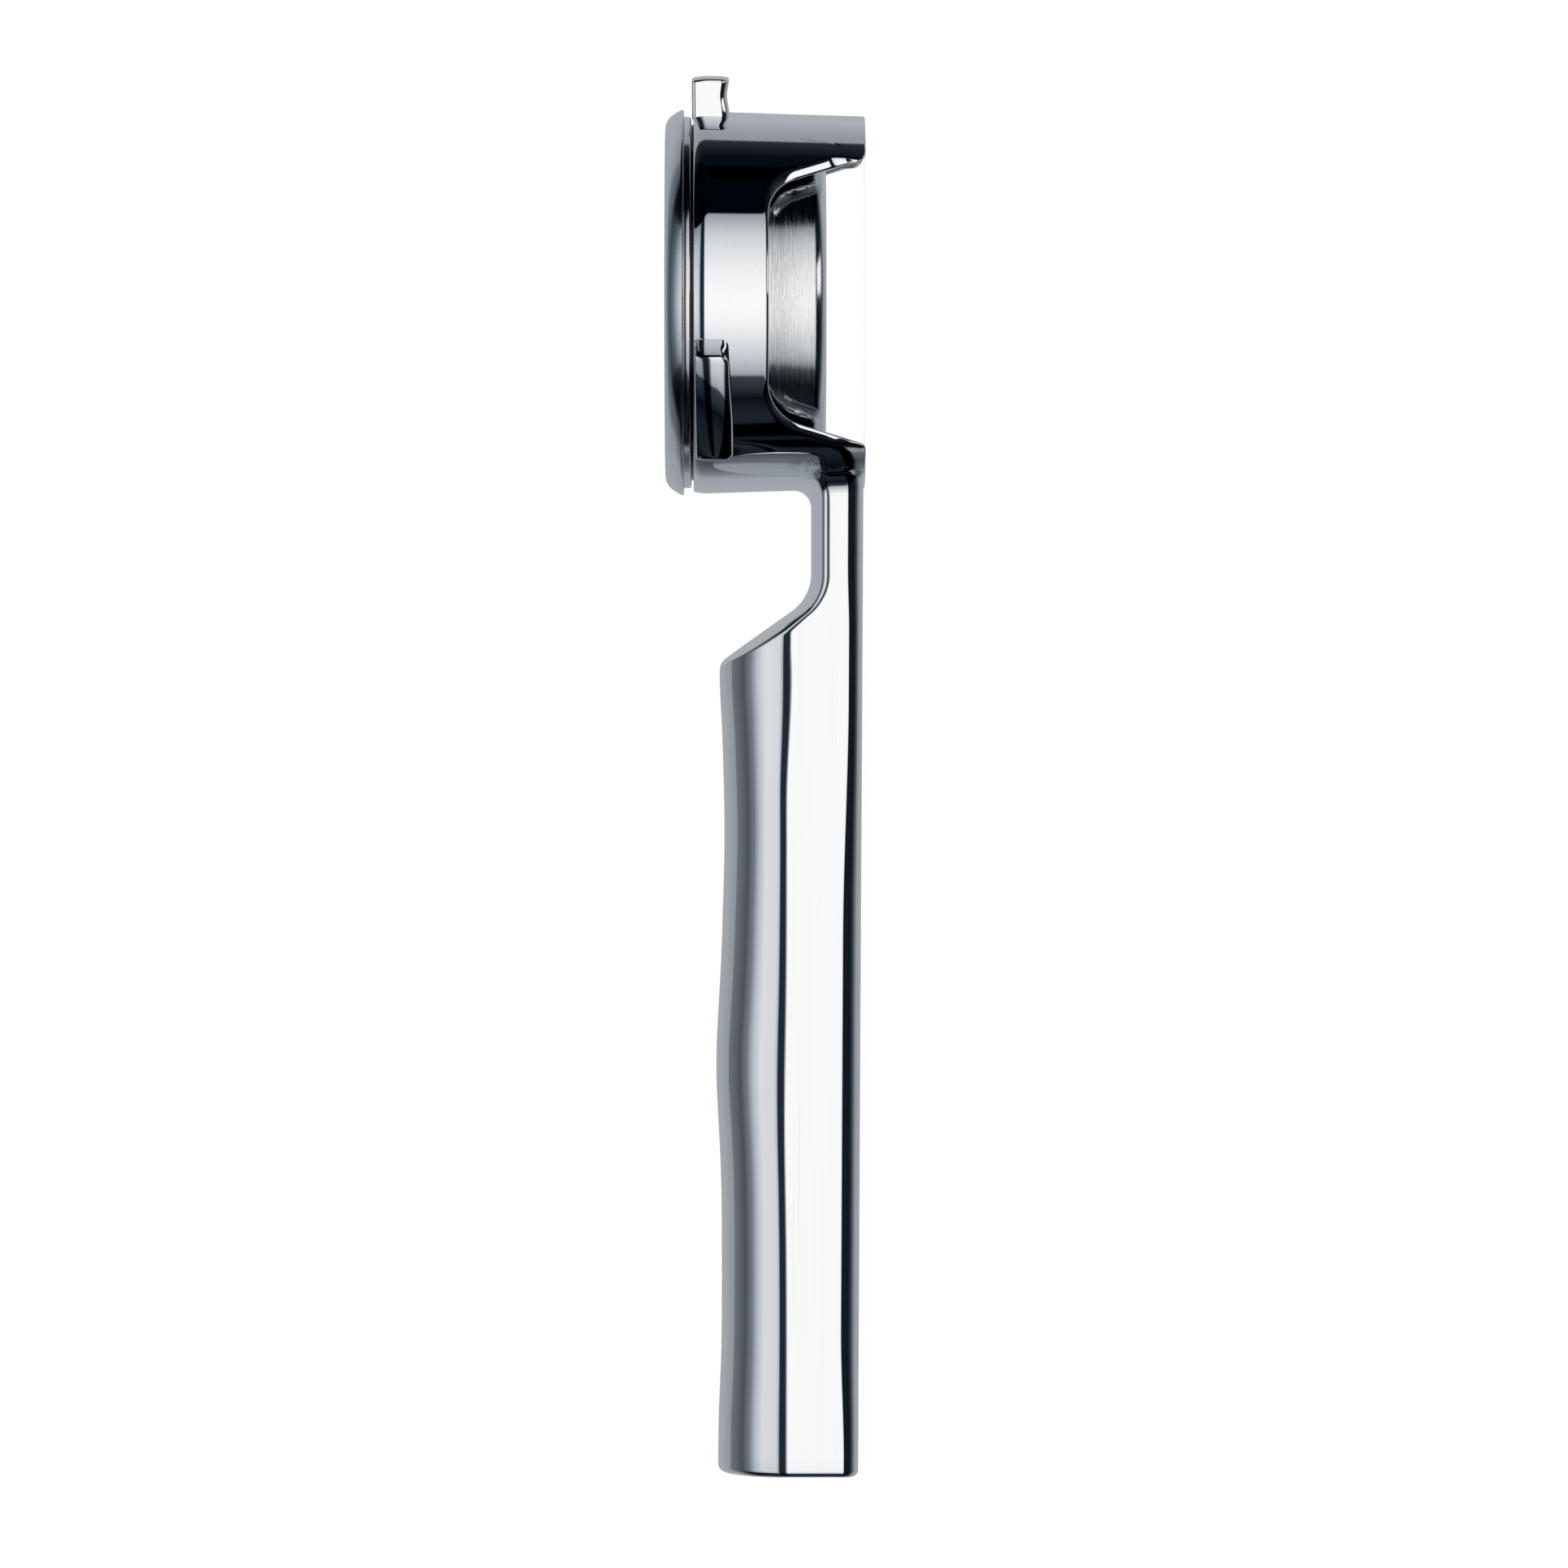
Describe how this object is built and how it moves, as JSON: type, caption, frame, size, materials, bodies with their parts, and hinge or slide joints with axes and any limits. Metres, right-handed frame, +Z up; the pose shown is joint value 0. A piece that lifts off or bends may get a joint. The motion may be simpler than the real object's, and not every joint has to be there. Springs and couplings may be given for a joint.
{
  "type": "bottomless espresso portafilter",
  "caption": "Polished steel espresso portafilter with an open-sided bayonet ring, a lift-out filter basket and a long hollow grip.",
  "frame": {"origin": "on the basket's axis, at the plane the holder stands on", "axes": "+Z up along the basket's axis, out of its mouth; +X from the basket along the grip; +Y to the side"},
  "size_m": [0.2565, 0.0806, 0.0365],
  "materials": {
    "polished_steel": "mirror-polished stainless steel",
    "seat_steel": "fine-turned stainless steel, polished",
    "basket_steel": "stainless steel brushed round its axis",
    "spring_steel": "drawn spring wire",
    "fastener_steel": "plain machined steel"
  },
  "bodies": {
    "holder": {"holder_body": "polished_steel", "seat_ring": "seat_steel", "grip_shell": "polished_steel", "tie_rod": "fastener_steel", "grip_bulkhead": "fastener_steel", "flat_washer": "fastener_steel", "spring_washer": "fastener_steel", "rod_nut": "fastener_steel", "end_cap": "polished_steel"},
    "spring": {"basket_spring": "spring_steel"},
    "basket": {"filter_basket": "basket_steel"}
  },
  "joints": [
    {"name": "basket_turn", "type": "hinge", "parent": "holder", "child": "spring", "pos_m": [0, 0, 0.0273], "axis": [0, 0, 1], "continuous": true},
    {"name": "basket_lift", "type": "slide", "parent": "spring", "child": "basket", "axis": [0, 0, 1], "range_m": [0, 0.04]}
  ]
}
